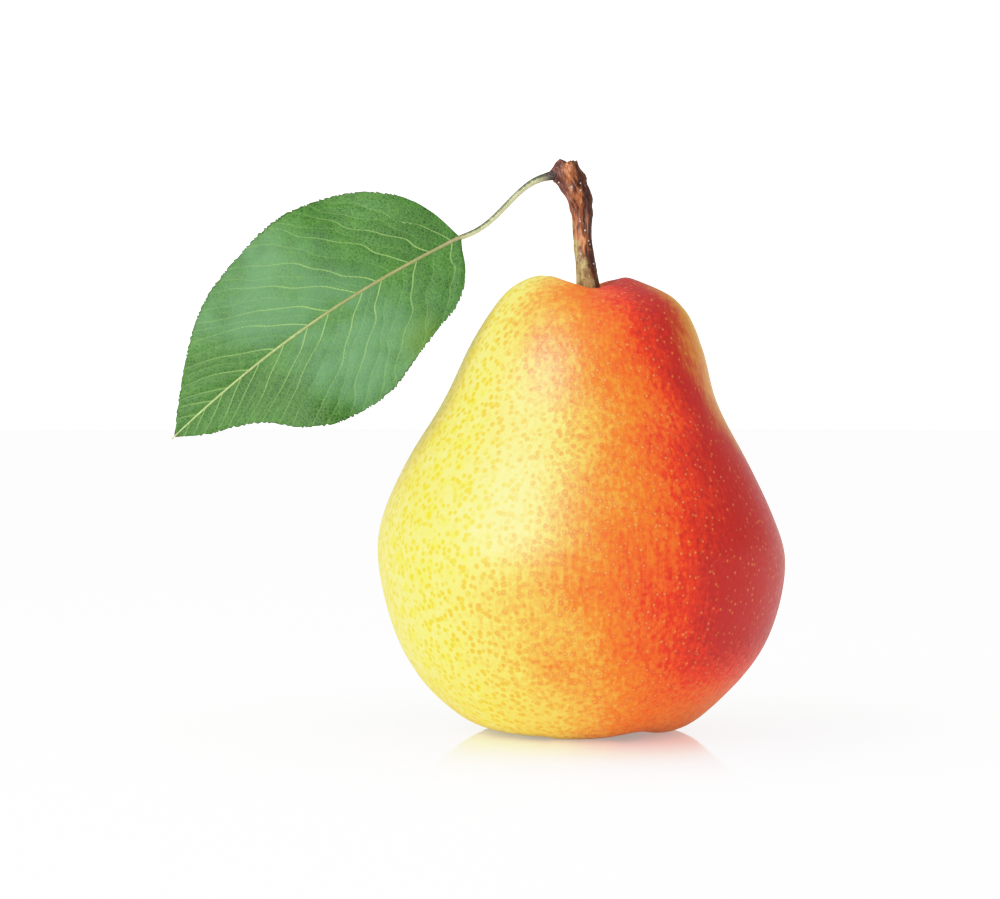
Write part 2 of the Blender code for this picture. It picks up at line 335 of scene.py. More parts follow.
def buildFruitMesh():
    mesh = frame["nodes"]["pear_fruit"].data.copy()
    shape = bmesh.new()
    shape.from_mesh(mesh)
    bmesh.ops.remove_doubles(shape, verts=shape.verts[:], dist=1e-6)
    bmesh.ops.join_triangles(
        shape, faces=shape.faces[:], angle_face_threshold=math.radians(60),
        angle_shape_threshold=math.radians(120),
    )
    shape.to_mesh(mesh)
    shape.free()
    holder = addObject("skinHolder", mesh)
    smoother = holder.modifiers.new("smoother", "SUBSURF")
    smoother.levels = smoother.render_levels = skin["smoothing"]
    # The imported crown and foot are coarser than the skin, so they are eased much more than the rest
    ends = holder.vertex_groups.new(name="ends")
    for vertex in mesh.vertices:
        high = vertex.co.z / fruitHeight
        ends.add([vertex.index], max(ease(high, 0.82, 0.90), ease(high, 0.12, 0.06)), "REPLACE")
    for group, rounds in (("", skin["relaxing"]), ("ends", skin["endRelaxing"])):
        relaxer = holder.modifiers.new("relaxer", "SMOOTH")
        relaxer.factor, relaxer.iterations, relaxer.vertex_group = 0.5, rounds, group
    bpy.context.view_layer.update()
    fine = bpy.data.meshes.new_from_object(holder.evaluated_get(bpy.context.evaluated_depsgraph_get()))
    bpy.data.objects.remove(holder)
    fine.name = "pearSkin"
    return fine


# Grown unevenness: slow lumps, small dimples, puckers round the stem and folds round the calyx.
# All of it goes inwards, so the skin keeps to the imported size, but for a hump below the crown's top.
def roughenFruit(mesh):
    points, normals = np.empty((2, len(mesh.vertices) * 3), np.float32)
    mesh.vertices.foreach_get("co", points)
    mesh.vertex_normals.foreach_get("vector", normals)
    points, normals = [part.reshape(-1, 3).astype(float) for part in (points, normals)]
    bottom, top = points[:, 2].min(), points[:, 2].max()
    points[:, 2] = (points[:, 2] - bottom) * fruitHeight / (top - bottom)
    depth = np.zeros(len(points))
    for name, apart in (("lump", Vector((0, 0, 0))), ("dimple", Vector((7, 3, 1)))):
        grown = np.array([noise.noise(Vector(point) / skin[name + "Size"] + apart) for point in points])
        depth += skin[name + "Height"] * (0.5 - 0.5 * grown)
    across = points[:, 0] - fruitCore.x
    along = points[:, 1] - fruitCore.y
    angle = np.arctan2(along, across)
    reach = np.hypot(across, along)
    high = points[:, 2] / fruitHeight
    nearStem = ease(high, 0.93, 0.97) * ease(reach, 2.5 * mm, 5.5 * mm) * ease(reach, 13 * mm, 7 * mm)
    wander = 0.7 * np.sin(2 * angle + 1.0)
    depth += skin["puckerHeight"] * nearStem * (0.5 + 0.5 * np.cos(skin["puckerCount"] * angle + wander))
    nearCalyx = ease(high, 0.09, 0.03) * ease(reach, 4 * mm, 7 * mm) * ease(reach, 16 * mm, 10 * mm)
    depth += skin["basinFoldHeight"] * nearCalyx * (0.5 + 0.5 * np.cos(skin["basinFolds"] * angle - wander))
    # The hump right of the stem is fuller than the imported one
    hump = ease(high, 0.85, 0.91) * np.maximum(ease(high, 1.0, 0.95), 0.2)
    hump *= ease(across, 0, 9 * mm) * ease(reach, 5 * mm, 10 * mm)
    depth -= skin["humpHeight"] * hump
    footEdge = ease(points[:, 2], 0, 4 * mm)  # the foot stays flat on the table
    depth *= np.where((reach > 10.5 * mm) & (high < 0.1), footEdge, 1.0)
    points -= normals * depth[:, None]
    points[:, 2] = np.maximum(points[:, 2], 0.0)
    mesh.vertices.foreach_set("co", points.astype(np.float32).ravel())


# Stops run round the fruit from the back left, past the lemon side and the golden middle, to the
# crimson cheek on the right. The first number is the direction in degrees.
skinColours = {
    "ground": (
        (-150, (0.66, 0.64, 0.09)), (-95, (0.86, 0.70, 0.12)), (-60, (0.93, 0.76, 0.15)),
        (-35, (0.95, 0.81, 0.17)), (-17, (0.95, 0.73, 0.15)), (-6, (0.95, 0.58, 0.08)),
        (5, (0.95, 0.39, 0.045)), (15, (0.94, 0.22, 0.014)), (25, (0.93, 0.13, 0.010)),
        (36, (0.82, 0.036, 0.005)), (52, (0.52, 0.011, 0.006)),
    ),
    "spot": (
        (-150, (0.42, 0.42, 0.03)), (-60, (0.84, 0.64, 0.006)), (-28, (0.86, 0.56, 0.010)),
        (-12, (0.86, 0.44, 0.03)), (0, (0.82, 0.24, 0.03)), (14, (0.74, 0.10, 0.012)),
        (40, (0.42, 0.012, 0.008)),
    ),
    "centre": (
        (-150, (0.60, 0.56, 0.10)), (-60, (0.88, 0.76, 0.06)), (-28, (0.90, 0.68, 0.08)),
        (-12, (0.94, 0.62, 0.14)), (0, (0.97, 0.50, 0.11)), (14, (1.0, 0.42, 0.08)),
        (40, (0.98, 0.27, 0.06)),
    ),
    "golden": (0.93, 0.62, 0.075), "lemon": (0.87, 0.76, 0.012), "cream": (0.94, 0.86, 0.33),
    "mustard": (0.80, 0.42, 0.025), "back": (0.62, 0.60, 0.075), "backSpot": (0.40, 0.38, 0.03),
    "russet": (0.30, 0.17, 0.05), "hollow": (0.42, 0.30, 0.06),
}


def roundRamp(direction, stops):
    low, high = skin["rampFrom"], skin["rampTo"]
    share = nextNode("MapRange", {"Value": direction, "From Min": low, "From Max": high})
    return ramp(share["Result"], [((angle - low) / (high - low), value) for angle, value in stops])


def buildSkinMaterial():
    material, tree, shader = newMaterial(
        "pearSkin", Specular_IOR_Level=0.20, Coat_Roughness=0.34, Coat_IOR=1.4,
    )
    position = objectPlace(tree)
    height, reach, around = roundFruit(position)
    high = calc("DIVIDE", height, fruitHeight)
    slow = patches(position, 0.016, 2.0)
    quick = patches(position, 0.0009, 4.0)
    streaks = strandMask(position, 0.0008, 7.0)
    # The blush leans to the left at the crown, fades slowly there, and thins out towards the foot
    lean = timesPlus(ramp(high, (
        (0.0, 0.42), (0.09, 0.52), (0.18, 0.68), (0.34, 0.72), (0.52, 0.58), (0.68, 0.58),
        (0.86, 0.77), (0.95, 0.86), (1.0, 0.88),
    )), 60.0, -30.0)
    pace = ramp(high, (
        (0.0, 0.60), (0.15, 0.72), (0.34, 1.0), (0.52, 1.0), (0.70, 0.75), (0.86, 0.45), (1.0, 0.55),
    ))
    farness = calc("POWER", calc("ABSOLUTE", calc("DIVIDE", around, 70.0)), 2.0)
    pace = timesPlus(calc("SUBTRACT", 1.0, pace), farness, pace)
    direction = timesPlus(around, pace, lean)
    for mask, swing in ((slow, 11.0), (quick, 11.0), (streaks, 9.0)):
        direction = sway(direction, mask, swing)
    most = times(ramp(high, ((0.0, 0.06), (0.07, 0.15), (0.13, 0.29), (0.28, 0.70), (0.40, 1.0))), 90.0)
    direction = calc("MINIMUM", direction, timesPlus(quick, 12.0, most))
    colour = roundRamp(direction, skinColours["ground"])

    # Golden towards the foot, lemon blotches on the left and paler cream between them
    leftSide = soften(direction, -15.0, -45.0)
    footward = times(soften(high, 0.24, 0.04), soften(direction, 0.0, -20.0))
    blotches = placeGroup(pores, position, skin["blotchSpacing"], 0.34, 0.1, 0.20)["Spot"]
    creamy = patches(position, 0.0026, 3.0, 0.42, 0.68)
    colour = tint(colour, skinColours["golden"], footward, 0.55)
    colour = tint(colour, skinColours["lemon"], times(blotches, leftSide), 0.75)
    colour = tint(colour, skinColours["cream"], times(creamy, leftSide), 0.45)

    # Pores: golden spots on the left, rings with pale centres in the middle, pale points on the right
    spotSize = roundRamp(direction, ((-60, 0.43), (-15, 0.44), (5, 0.42), (25, 0.33)))
    atBack = calc("MAXIMUM", soften(around, 120.0, 160.0), soften(around, -120.0, -160.0))
    spotSize = timesPlus(calc("SUBTRACT", skin["backSpotSize"], spotSize), atBack, spotSize)
    centreSize = roundRamp(direction, ((-60, 0.02), (-20, 0.06), (0, 0.22), (25, 0.20)))
    spots = placeGroup(pores, position, skin["poreSpacing"], spotSize, centreSize, 0.11)
    spotForce = roundRamp(direction, ((-60, 0.90), (-20, 0.92), (0, 0.75), (20, 0.50), (45, 0.42)))
    centreForce = roundRamp(direction, ((-60, 0.0), (-15, 0.2), (0, 0.70), (30, 0.72), (50, 0.5)))
    chance = soften(spots["Chance"], 0.05, 0.5, 0.45, 1.0)
    for name, force in (("Spot", spotForce), ("Centre", centreForce)):
        poreColour = roundRamp(direction, skinColours[name.lower()])
        colour = tint(colour, poreColour, times(spots[name], force, chance))

    # Behind the blush the skin turns mustard, then yellow green, sooner at the crown
    turnsAt = times(ramp(high, (
        (0.0, 0.84), (0.25, 0.86), (0.45, 0.82), (0.62, 0.77), (0.75, 0.71), (0.90, 0.67), (1.0, 0.72),
    )), 100.0)
    turnsAt = calc("SUBTRACT", turnsAt, times(soften(high, 0.70, 0.80), 4.5))
    behind = sway(sway(calc("SUBTRACT", around, turnsAt), slow, 10.0), streaks, 8.0)
    stray = times(patches(position, 0.024, 4.0, 0.15, 0.85), soften(high, 0.70, 0.45), 36.0)
    behind = calc("SUBTRACT", behind, stray)
    # The hollow's far wall and the top of the rim stay red
    outside = times(soften(reach, 0.004, 0.011), soften(high, 0.995, 0.945))
    colour = tint(colour, skinColours["mustard"], times(soften(behind, -14.0, 24.0), outside))
    greenTone = tint(skinColours["back"], skinColours["backSpot"], spots["Spot"], 0.45)
    greenness = calc("MAXIMUM", soften(behind, 10.0, 60.0), atBack)
    colour = tint(colour, greenTone, times(greenness, outside))

    # Russet down in the stem's hollow and in the calyx's
    nearStem = times(soften(high, 0.94, 0.965), soften(reach, 0.0052, 0.0030))
    colour = tint(colour, skinColours["hollow"], nearStem, 0.75)
    nearCalyx = times(soften(high, 0.12, 0.04), soften(reach, 0.0135, 0.0075))
    colour = tint(colour, skinColours["russet"], times(nearCalyx, patches(position, 0.0016, 5.0, 0.35, 0.6)))

    glossy, dull = skin["roughness"]
    roughness = calc("ADD", timesPlus(quick, dull - glossy, glossy), times(nearCalyx, 0.25))
    tree.links.new(timesPlus(slow, 0.08, 0.10), shader.inputs["Coat Weight"])
    grain = patches(position, 0.0009, 3.0, 0.2, 0.8)
    relief = timesPlus(spots["Spot"], 0.12, times(grain, 0.35))
    finishShader(shader, colour, roughness, timesPlus(streaks, 0.5, relief), skin["reliefDepth"])
    return material


fruitMesh = buildFruitMesh()
roughenFruit(fruitMesh)
finishPiece("pearSkin", fruitMesh, buildSkinMaterial(), "pear_fruit")
print("fruit", len(fruitMesh.polygons), "faces")


# Stem
stem = {
    "rings": 190, "sides": 110, "capRings": 9,
    "sink": 0.7 * mm,  # how far the foot goes on into the fruit's hollow
    "ridgeHeight": 0.32 * mm, "fineRidgeHeight": 0.13 * mm, "bumpHeight": 0.07 * mm,
    "ridgeLength": 7.5 * mm, "twist": 1.1,
    "brokenHeight": 0.7 * mm, "raggedHeight": 1.1 * mm, "lumpHeight": 0.42 * mm,
    "socketDrop": 3.2 * mm, "socketRadius": 1.10 * mm, "lipHeight": 0.50 * mm, "lipWidth": 0.38 * mm,
    "pitDepth": 0.25 * mm, "pitWidth": 0.75 * mm,  # where the leaf's stalk goes in
    "socketTurn": math.pi + 0.27, "lumpSize": 1.7 * mm, "roughSize": 0.9 * mm,
}


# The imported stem's rings: height, middle and two radii of each
def stemRings():
    shape = bmesh.new()
    shape.from_mesh(frame["nodes"]["stem"].data)
    bmesh.ops.remove_doubles(shape, verts=shape.verts[:], dist=1e-6)
    points = np.array([vertex.co[:] for vertex in shape.verts])
    shape.free()
    rows = []
    for height in np.unique(np.round(points[:, 2], 5)):
        ring = points[np.abs(points[:, 2] - height) < 2e-5]
        out = np.hypot(ring[:, 0] - ring[:, 0].mean(), ring[:, 1] - ring[:, 1].mean())
        ring = ring[np.argsort(out)][-20:]  # only the outermost points
        middle = (ring.min(0) + ring.max(0)) / 2
        reach = (ring.max(0) - ring.min(0)) / 2
        rows.append((height, middle[0], middle[1], reach[0], reach[1]))
    return np.array(rows)


def ridged(point):
    return 1 - 2 * abs(noise.noise(Vector(point)))


def buildStemPoints():
    rows = stemRings()
    low, top = rows[0, 0] - stem["sink"], rows[-1, 0]
    points, place, ridges, sides = [], [], [], []
    socketHeight = top - stem["socketDrop"]
    for ring in range(stem["rings"]):
        share = ring / (stem["rings"] - 1)
        height = low + (top - low) * share
        x, y, wide, deep = [np.interp(height, rows[:, 0], rows[:, column]) for column in range(1, 5)]
        knobby = ease(share, 0.52, 0.72)
        for side in range(stem["sides"]):
            angle = 2 * math.pi * side / stem["sides"]
            turn = angle + stem["twist"] * share
            rise = height / stem["ridgeLength"]
            ridge = ridged((1.25 * math.cos(turn), 1.25 * math.sin(turn), rise))
            fine = ridged((3.2 * math.cos(turn), 3.2 * math.sin(turn) + 5, 1.6 * rise))
            bump = noise.noise(Vector((4.5 * math.cos(turn), 4.5 * math.sin(turn) + 9, 7 * rise)))
            lift = stem["ridgeHeight"] * (ridge - 0.55) * (0.45 + 0.9 * knobby)
            lift += stem["fineRidgeHeight"] * (fine - 0.6) * (0.6 + 0.6 * knobby)
            lift += stem["bumpHeight"] * bump * (0.5 + 1.5 * knobby)
            lumpAt = (1.6 * math.cos(angle) + 4, 1.6 * math.sin(angle), height / stem["lumpSize"])
            lump = noise.noise(Vector(lumpAt))
            lift += stem["lumpHeight"] * (lump - 0.25) * knobby
            fromSocket = angle - stem["socketTurn"]
            across = math.atan2(math.sin(fromSocket), math.cos(fromSocket)) * wide
            gap = math.hypot(across, height - socketHeight)
            lift += stem["lipHeight"] * math.exp(-(((gap - stem["socketRadius"]) / stem["lipWidth"]) ** 2))
            lift -= stem["pitDepth"] * math.exp(-((gap / stem["pitWidth"]) ** 2))
            ragged = noise.noise(Vector((2.2 * math.cos(angle), 2.2 * math.sin(angle) + 3, 0.5)))
            drop = max(stem["raggedHeight"] * (0.45 + 0.9 * ragged) * ease(share, 0.88, 1.0), 0.0)
            points.append((
                x + (wide + lift) * math.cos(angle), y + (deep + lift) * math.sin(angle), height - drop
            ))
            place.append(share)
            ridges.append(0.65 * ridge + 0.35 * fine + 0.6 * bump)
            sides.append(math.cos(angle))
    # The top is where the wood broke off: rings that close inwards over an uneven face
    last = np.array(points[-stem["sides"]:])
    middle = last.mean(0)
    for ring in range(1, stem["capRings"] + 1):
        share = 1 - (ring / (stem["capRings"] + 1)) ** 1.3
        for point in last:
            spot = middle + (point - middle) * share
            rough = noise.noise(Vector(spot) / stem["roughSize"]) - 0.3 * (1 - share)
            spot[2] = min(spot[2] + stem["brokenHeight"] * rough * (1 - share ** 6), top)
            points.append(tuple(spot))
            place.append(1.05)
            ridges.append(rough)
            sides.append(0.0)
    points += [tuple(middle), (rows[0, 1], rows[0, 2], low)]
    return points, place + [1.05, 0.0], ridges + [0.0, 0.0], sides + [0.0, 0.0]


def buildStem():
    points, place, ridges, across = buildStemPoints()
    rows = stem["rings"] + stem["capRings"]
    sides = stem["sides"]
    faces = gridFaces(rows, sides, tube=True)
    topMiddle = rows * sides
    lastRing = (rows - 1) * sides
    for side in range(sides):
        after = (side + 1) % sides
        faces.append((lastRing + side, lastRing + after, topMiddle))
        faces.append((after, side, topMiddle + 1))
    piece = makePiece("stemBark", points, faces, buildBarkMaterial(), "stem")
    for name, values in (("stemHeight", place), ("stemRidge", ridges), ("stemSide", across)):
        setAttribute(piece.data, name, values)
    return piece


def buildBarkMaterial():
    material, tree, shader = newMaterial("stemBark", Specular_IOR_Level=0.22)
    position = objectPlace(tree)
    rise, ridge, across = readAttributes(tree, "stemHeight", "stemRidge", "stemSide")
    strands = strandMask(position, 0.0006, 9.0)
    broad = strandMask(position, 0.0016, 5.0, 0.35, 0.65)
    tone = timesPlus(strands, 0.35, times(broad, 0.25))
    # Bark tone from the strands, with painted light from the geometry's ridges: the furrows are painted
    # darker as shade, and the palest ridge tops are a painted highlight
    colour = ramp(timesPlus(soften(ridge, 0.0, 1.0), 0.40, tone), (
        (0.0, (0.025, 0.007, 0.004)), (0.3, (0.11, 0.027, 0.009)), (0.5, (0.30, 0.080, 0.022)),
        (0.72, (0.52, 0.165, 0.048)), (1.0, (0.85, 0.48, 0.26)),
    ))
    # Purple brown on the knob's left
    leftward = times(soften(across, -0.10, -0.65), soften(rise, 0.62, 0.80))
    colour = tint(colour, (0.085, 0.022, 0.022), leftward, 0.8)
    # The young lower end is still olive on its left, with brown stains
    stains = patches(position, 0.0013, 4.0, 0.45, 0.6)
    olive = ramp(strands, ((0.0, (0.26, 0.18, 0.055)), (0.5, (0.47, 0.34, 0.12)), (1.0, (0.66, 0.52, 0.23))))
    olive = tint(olive, (0.22, 0.085, 0.022), stains, 0.8)
    young = timesPlus(stains, 0.08, timesPlus(across, 0.22, rise))
    colour = tint(colour, olive, soften(young, 0.40, 0.26))
    # Painted shade darkens the right side, painted glints make a few pale dots, and dull brown marks where
    # the top broke off
    # Painted shade: the side turned away from the light is darkened in the colour
    colour = tint(colour, (0.035, 0.011, 0.007), soften(across, 0.18, 0.78), 0.85)
    # Painted glints: pale dots stand in for small highlights on the bark, and the same dots also raise the
    # bump
    glintSpecks = placeGroup(pores, position, 0.0008, 0.20, 0.05, 0.06)
    colour = tint(colour, (0.90, 0.76, 0.66), times(glintSpecks["Spot"], soften(glintSpecks["Chance"], 0.74, 0.80)))
    colour = tint(colour, (0.12, 0.05, 0.03), soften(rise, 1.005, 1.04), 0.6)
    relief = timesPlus(strands, 0.8, times(glintSpecks["Spot"], 0.5))
    finishShader(shader, colour, timesPlus(strands, 0.25, 0.28), relief, 0.16 * mm)
    return material


stemBark = buildStem()
print("stem", len(stemBark.data.polygons), "faces")


# Leaf
leaf = {
    # The leaf stalk's line from the stem's knob, and the blade's lie, as packed
    "stalkRun": 17.2 * mm, "stalkFall": 11.4 * mm, "stalkForward": 2.0 * mm,
    "stalkArch": 0.35 * mm, "stalkSway": 1.1 * mm,
    "length": 63.4 * mm, "fall": math.radians(34.9), "lean": math.radians(20), "advance": math.radians(4),
    "midribBow": 1.5 * mm, "arch": 3.2 * mm, "fold": 0.16, "roll": 7.0,
    "waveHeight": 1.1 * mm, "waves": 2.75,
    "upperWaveStart": math.radians(34), "lowerWaveStart": math.radians(138),
    "waveReach": 20.4 * mm, "upperHalfWidth": 20.4 * mm, "lowerHalfWidth": 19.4 * mm,
    "upperMargin": (
        (0.0, 0.03), (0.012, 0.22), (0.03, 0.39), (0.06, 0.56), (0.10, 0.695), (0.16, 0.84), (0.24, 0.96),
        (0.32, 1.0), (0.45, 0.985), (0.58, 0.93), (0.70, 0.79), (0.80, 0.585), (0.90, 0.32), (1.0, 0.012),
    ),
    "lowerMargin": (
        (0.0, 0.03), (0.014, 0.12), (0.03, 0.25), (0.06, 0.42), (0.12, 0.60), (0.20, 0.72), (0.30, 0.875),
        (0.40, 1.0), (0.52, 0.995), (0.62, 0.94), (0.69, 0.79), (0.76, 0.54), (0.83, 0.375),
        (0.92, 0.22), (1.0, 0.012),
    ),
    # Make of the visible leaf
    "bladeRings": 720, "bladeColumns": 38, "thickness": 0.34 * mm, "marginThickness": 0.14 * mm,
    "teeth": 56, "toothHeight": 0.46 * mm,
    "pillowHeight": 0.15 * mm, "ruffleHeight": 0.10 * mm,
    "stalkRings": 90, "ribRings": 150, "stalkSides": 20,
    "stalkRadius": ((0.0, 0.95 * mm), (0.10, 0.72 * mm), (0.35, 0.54 * mm), (1.0, 0.50 * mm)),
    "ribRadius": ((0.0, 0.48 * mm), (0.08, 0.38 * mm), (0.5, 0.31 * mm), (0.9, 0.22 * mm), (1.0, 0.13 * mm)),
    # Where the side veins leave the midrib, as shares of its length, and where weak ones do
    "upperVeins": (0.025, 0.095, 0.160, 0.270, 0.335, 0.430, 0.500, 0.620, 0.715, 0.795, 0.850, 0.910),
    "upperWeakVeins": (0.060, 0.130, 0.215, 0.305, 0.385, 0.465, 0.560, 0.670),
    "lowerVeins": (0.025, 0.140, 0.255, 0.320, 0.435, 0.505, 0.590, 0.680, 0.745, 0.815, 0.880, 0.940),
    "lowerWeakVeins": (0.085, 0.180, 0.215, 0.290, 0.380, 0.470, 0.550, 0.635),
    # Run along the leaf for each step out, at the base and added towards the tip, and its growth
    "veinRun": (0.55, 1.15), "veinBend": (9.0, 190.0), "bendStart": 0.25,
    "veinWander": 0.55 * mm, "weakVein": 0.11, "tipVein": 0.45, "outerVein": 0.25,
    "puffReach": 1.4 * mm, "midribReach": 1.2 * mm,
}


def leafDirections():
    along = np.array([-math.cos(leaf["fall"]), 0.0, -math.sin(leaf["fall"])])
    along = along * math.cos(leaf["advance"]) + np.array([0.0, -math.sin(leaf["advance"]), 0.0])
    upward = np.array([-math.sin(leaf["fall"]), 0.0, math.cos(leaf["fall"])])
    across = upward * math.cos(leaf["lean"]) + np.array([0.0, math.sin(leaf["lean"]), 0.0])
    across -= along * across.dot(along)
    across /= np.linalg.norm(across)
    return along, across, np.cross(across, along)


leafAlong, leafAcross, leafOut = leafDirections()
# The stalk leaves the knob at the leaf box's right end, and the blade's base is at its far end
stalkStart = np.array([leafHigh.x, fruitCore.y - 0.8 * mm, stemHigh.z - stem["socketDrop"]])
bladeBase = stalkStart + np.array([-leaf["stalkRun"], -leaf["stalkForward"], -leaf["stalkFall"]])


def marginWidth(margin, halfWidth, shares):
    known, widths = np.array(margin).T
    slopes = np.gradient(widths, known)
    span = np.clip(np.searchsorted(known, shares) - 1, 0, len(known) - 2)
    gap = known[span + 1] - known[span]
    part = (shares - known[span]) / gap
    return halfWidth * (
        widths[span] * (2 * part**3 - 3 * part**2 + 1) + slopes[span] * (part**3 - 2 * part**2 + part) * gap
        + widths[span + 1] * (3 * part**2 - 2 * part**3) + slopes[span + 1] * (part**3 - part**2) * gap
    )


def bladeOffset(share, side):
    arch = leaf["arch"] * np.sin(np.pi * share)
    fold = leaf["fold"] * np.abs(side) - leaf["roll"] * side**2
    start = np.where(side > 0, leaf["upperWaveStart"], leaf["lowerWaveStart"])
    wave = leaf["waveHeight"] * (side / leaf["waveReach"]) ** 2
    return arch + fold + wave * np.sin(2 * np.pi * leaf["waves"] * share + start)


def midribPoint(share):
    share = np.asarray(share)[..., None]
    bow = leaf["midribBow"] * 4 * share * (1 - share)
    arch = leaf["arch"] * np.sin(np.pi * share)
    return bladeBase + leafAlong * leaf["length"] * share + leafAcross * bow + leafOut * arch


# Counts along the side veins: a whole number lies on a vein, so the nearest whole number tells how
# far away it is. Also gives the distance from vein to vein there, and how strong the nearest is.
def veinField(along, side, halfWidth):
    out = np.abs(side)
    field = np.zeros((3, *along.shape))
    for half, name in ((1, "upper"), (-1, "lower")):
        weaker = 1 - leaf["tipVein"]
        starts = [(start, 1 - weaker * max(start - 0.5, 0.0) / 0.5) for start in leaf[name + "Veins"]]
        starts += [(start, leaf["weakVein"]) for start in leaf[name + "WeakVeins"]]
        starts = [(-0.2, 0.0)] + sorted(starts) + [(1.2, 0.0)]
        settle = ease(out, 0, 4 * mm) * leaf["veinWander"]
        curves = []
        for number, (start, _) in enumerate(starts):
            run = leaf["veinRun"][0] + leaf["veinRun"][1] * start
            bend = leaf["veinBend"][0] + leaf["veinBend"][1] * max(start - leaf["bendStart"], 0.0)
            phase = 2.4 * number + half
            wander = np.sin(out / (1.9 * mm) + phase) + 0.5 * np.sin(out / (0.8 * mm) + 3 * phase)
            curves.append(start * leaf["length"] + run * out + bend * out**2 + settle * wander)
        curves = np.maximum.accumulate(np.array(curves), axis=0)
        below = np.clip((curves <= along).sum(0) - 1, 0, len(starts) - 2)
        low = np.take_along_axis(curves, below[None], 0)[0]
        high = np.take_along_axis(curves, below[None] + 1, 0)[0]
        number = below + np.clip((along - low) / np.maximum(high - low, 0.1 * mm), 0, 1)
        slope = leaf["veinRun"][0] + leaf["veinRun"][1] * along / leaf["length"]
        strength = np.array([start[1] for start in starts])[np.round(number).astype(int)]
        outer = np.minimum(leaf["outerVein"], 2 * strength)
        strength = strength + (outer - strength) * ease(out / halfWidth, 0, 0.9)
        found = np.array([number, (high - low) / np.sqrt(1 + slope**2), strength])
        field = np.where(side * half > 0, found, field)
    return field


def buildBlade(material):
    rings, columns = leaf["bladeRings"], leaf["bladeColumns"]
    shares = (np.arange(rings + 1) / rings) ** 1.08
    # Teeth that lean towards the tip, not all as long or as high
    size = ease(shares, 0, 0.10) * ease(shares, 1, 0.97) * leaf["toothHeight"]
    margins = []
    for name, phase in (("upper", 0.0), ("lower", 2.0)):
        beat = shares * leaf["teeth"] + 0.55 * np.sin(shares * 61 + phase)
        beat += 0.35 * np.sin(shares * 143 + 2 * phase)
        rise = beat % 1.0
        tooth = np.where(rise < 0.75, (rise / 0.75) ** 1.3, (1 - rise) / 0.25)
        uneven = 0.7 + 0.45 * np.sin(np.floor(beat) * 2.3 + phase)
        width = marginWidth(leaf[name + "Margin"], leaf[name + "HalfWidth"], shares)
        margins.append(width + size * uneven * (tooth - 0.6))
    upper, lower = margins
    steps = np.arange(1, columns + 1) / columns
    steps = np.concatenate([-steps[::-1], [-0.006, 0.006], steps])  # the midrib covers the middle strip
    halfWidth = np.where(steps > 0, np.abs(upper)[:, None], np.abs(lower)[:, None])
    side = steps * halfWidth
    share = np.repeat(shares[:, None], len(steps), axis=1)
    along = share * leaf["length"]
    count, spacing, force = veinField(along, side, halfWidth)
    gap = np.abs(count - np.round(count)) * spacing
    middle = midribPoint(share) - leafOut * (leaf["arch"] * np.sin(np.pi * share))[..., None]
    layer = bladeOffset(share, side)
    # Tissue puffs up between the veins, and the margin ruffles a little
    outward = np.abs(steps)
    puff = leaf["pillowHeight"] * ease(gap, 0, leaf["puffReach"]) ** 0.7 * ease(outward, 1, 0.85)
    puff *= ease(np.abs(side), 0, leaf["midribReach"])
    ruffle = leaf["ruffleHeight"] * outward**3 * np.sin(along / (2.6 * mm) + 2 * np.sin(along / (7 * mm)))
    layer = layer + puff - 0.5 * leaf["pillowHeight"] + ruffle * ease(share, 0, 0.1)
    thickness = np.sqrt(1 - outward**3) * (leaf["thickness"] - leaf["marginThickness"])
    skinHalf = (leaf["marginThickness"] + thickness) / 2 * ease(share, 1.006, 0.986)
    wide = len(steps)
    spread = middle + leafAcross * side[..., None]
    flat = np.concatenate([
        (spread + leafOut * (layer + face * skinHalf)[..., None]).reshape(-1, 3) for face in (1, -1)
    ])
    sheet = (rings + 1) * wide
    faces = gridFaces(rings + 1, wide, turned=True) + gridFaces(rings + 1, wide, first=sheet)
    grid = np.arange(sheet).reshape(-1, wide)
    border = np.concatenate([grid[:, 0], grid[-1, 1:], grid[-2::-1, -1], grid[0, -2:0:-1]]).tolist()
    for step, corner in enumerate(border):
        after = border[(step + 1) % len(border)]
        faces.append((corner, after, sheet + after, sheet + corner))
    piece = makePiece("leafBlade", flat, faces, material, "leaf")
    for name, values in (("leafShare", share), ("leafSide", np.broadcast_to(steps, share.shape)),
                         ("veinCount", count), ("veinSpacing", spacing * 1000), ("veinForce", force)):
        setAttribute(piece.data, name, np.concatenate([values.ravel(), values.ravel()]))
    setAttribute(piece.data, "leafFace", np.concatenate([np.ones(sheet), np.zeros(sheet)]))
    return piece


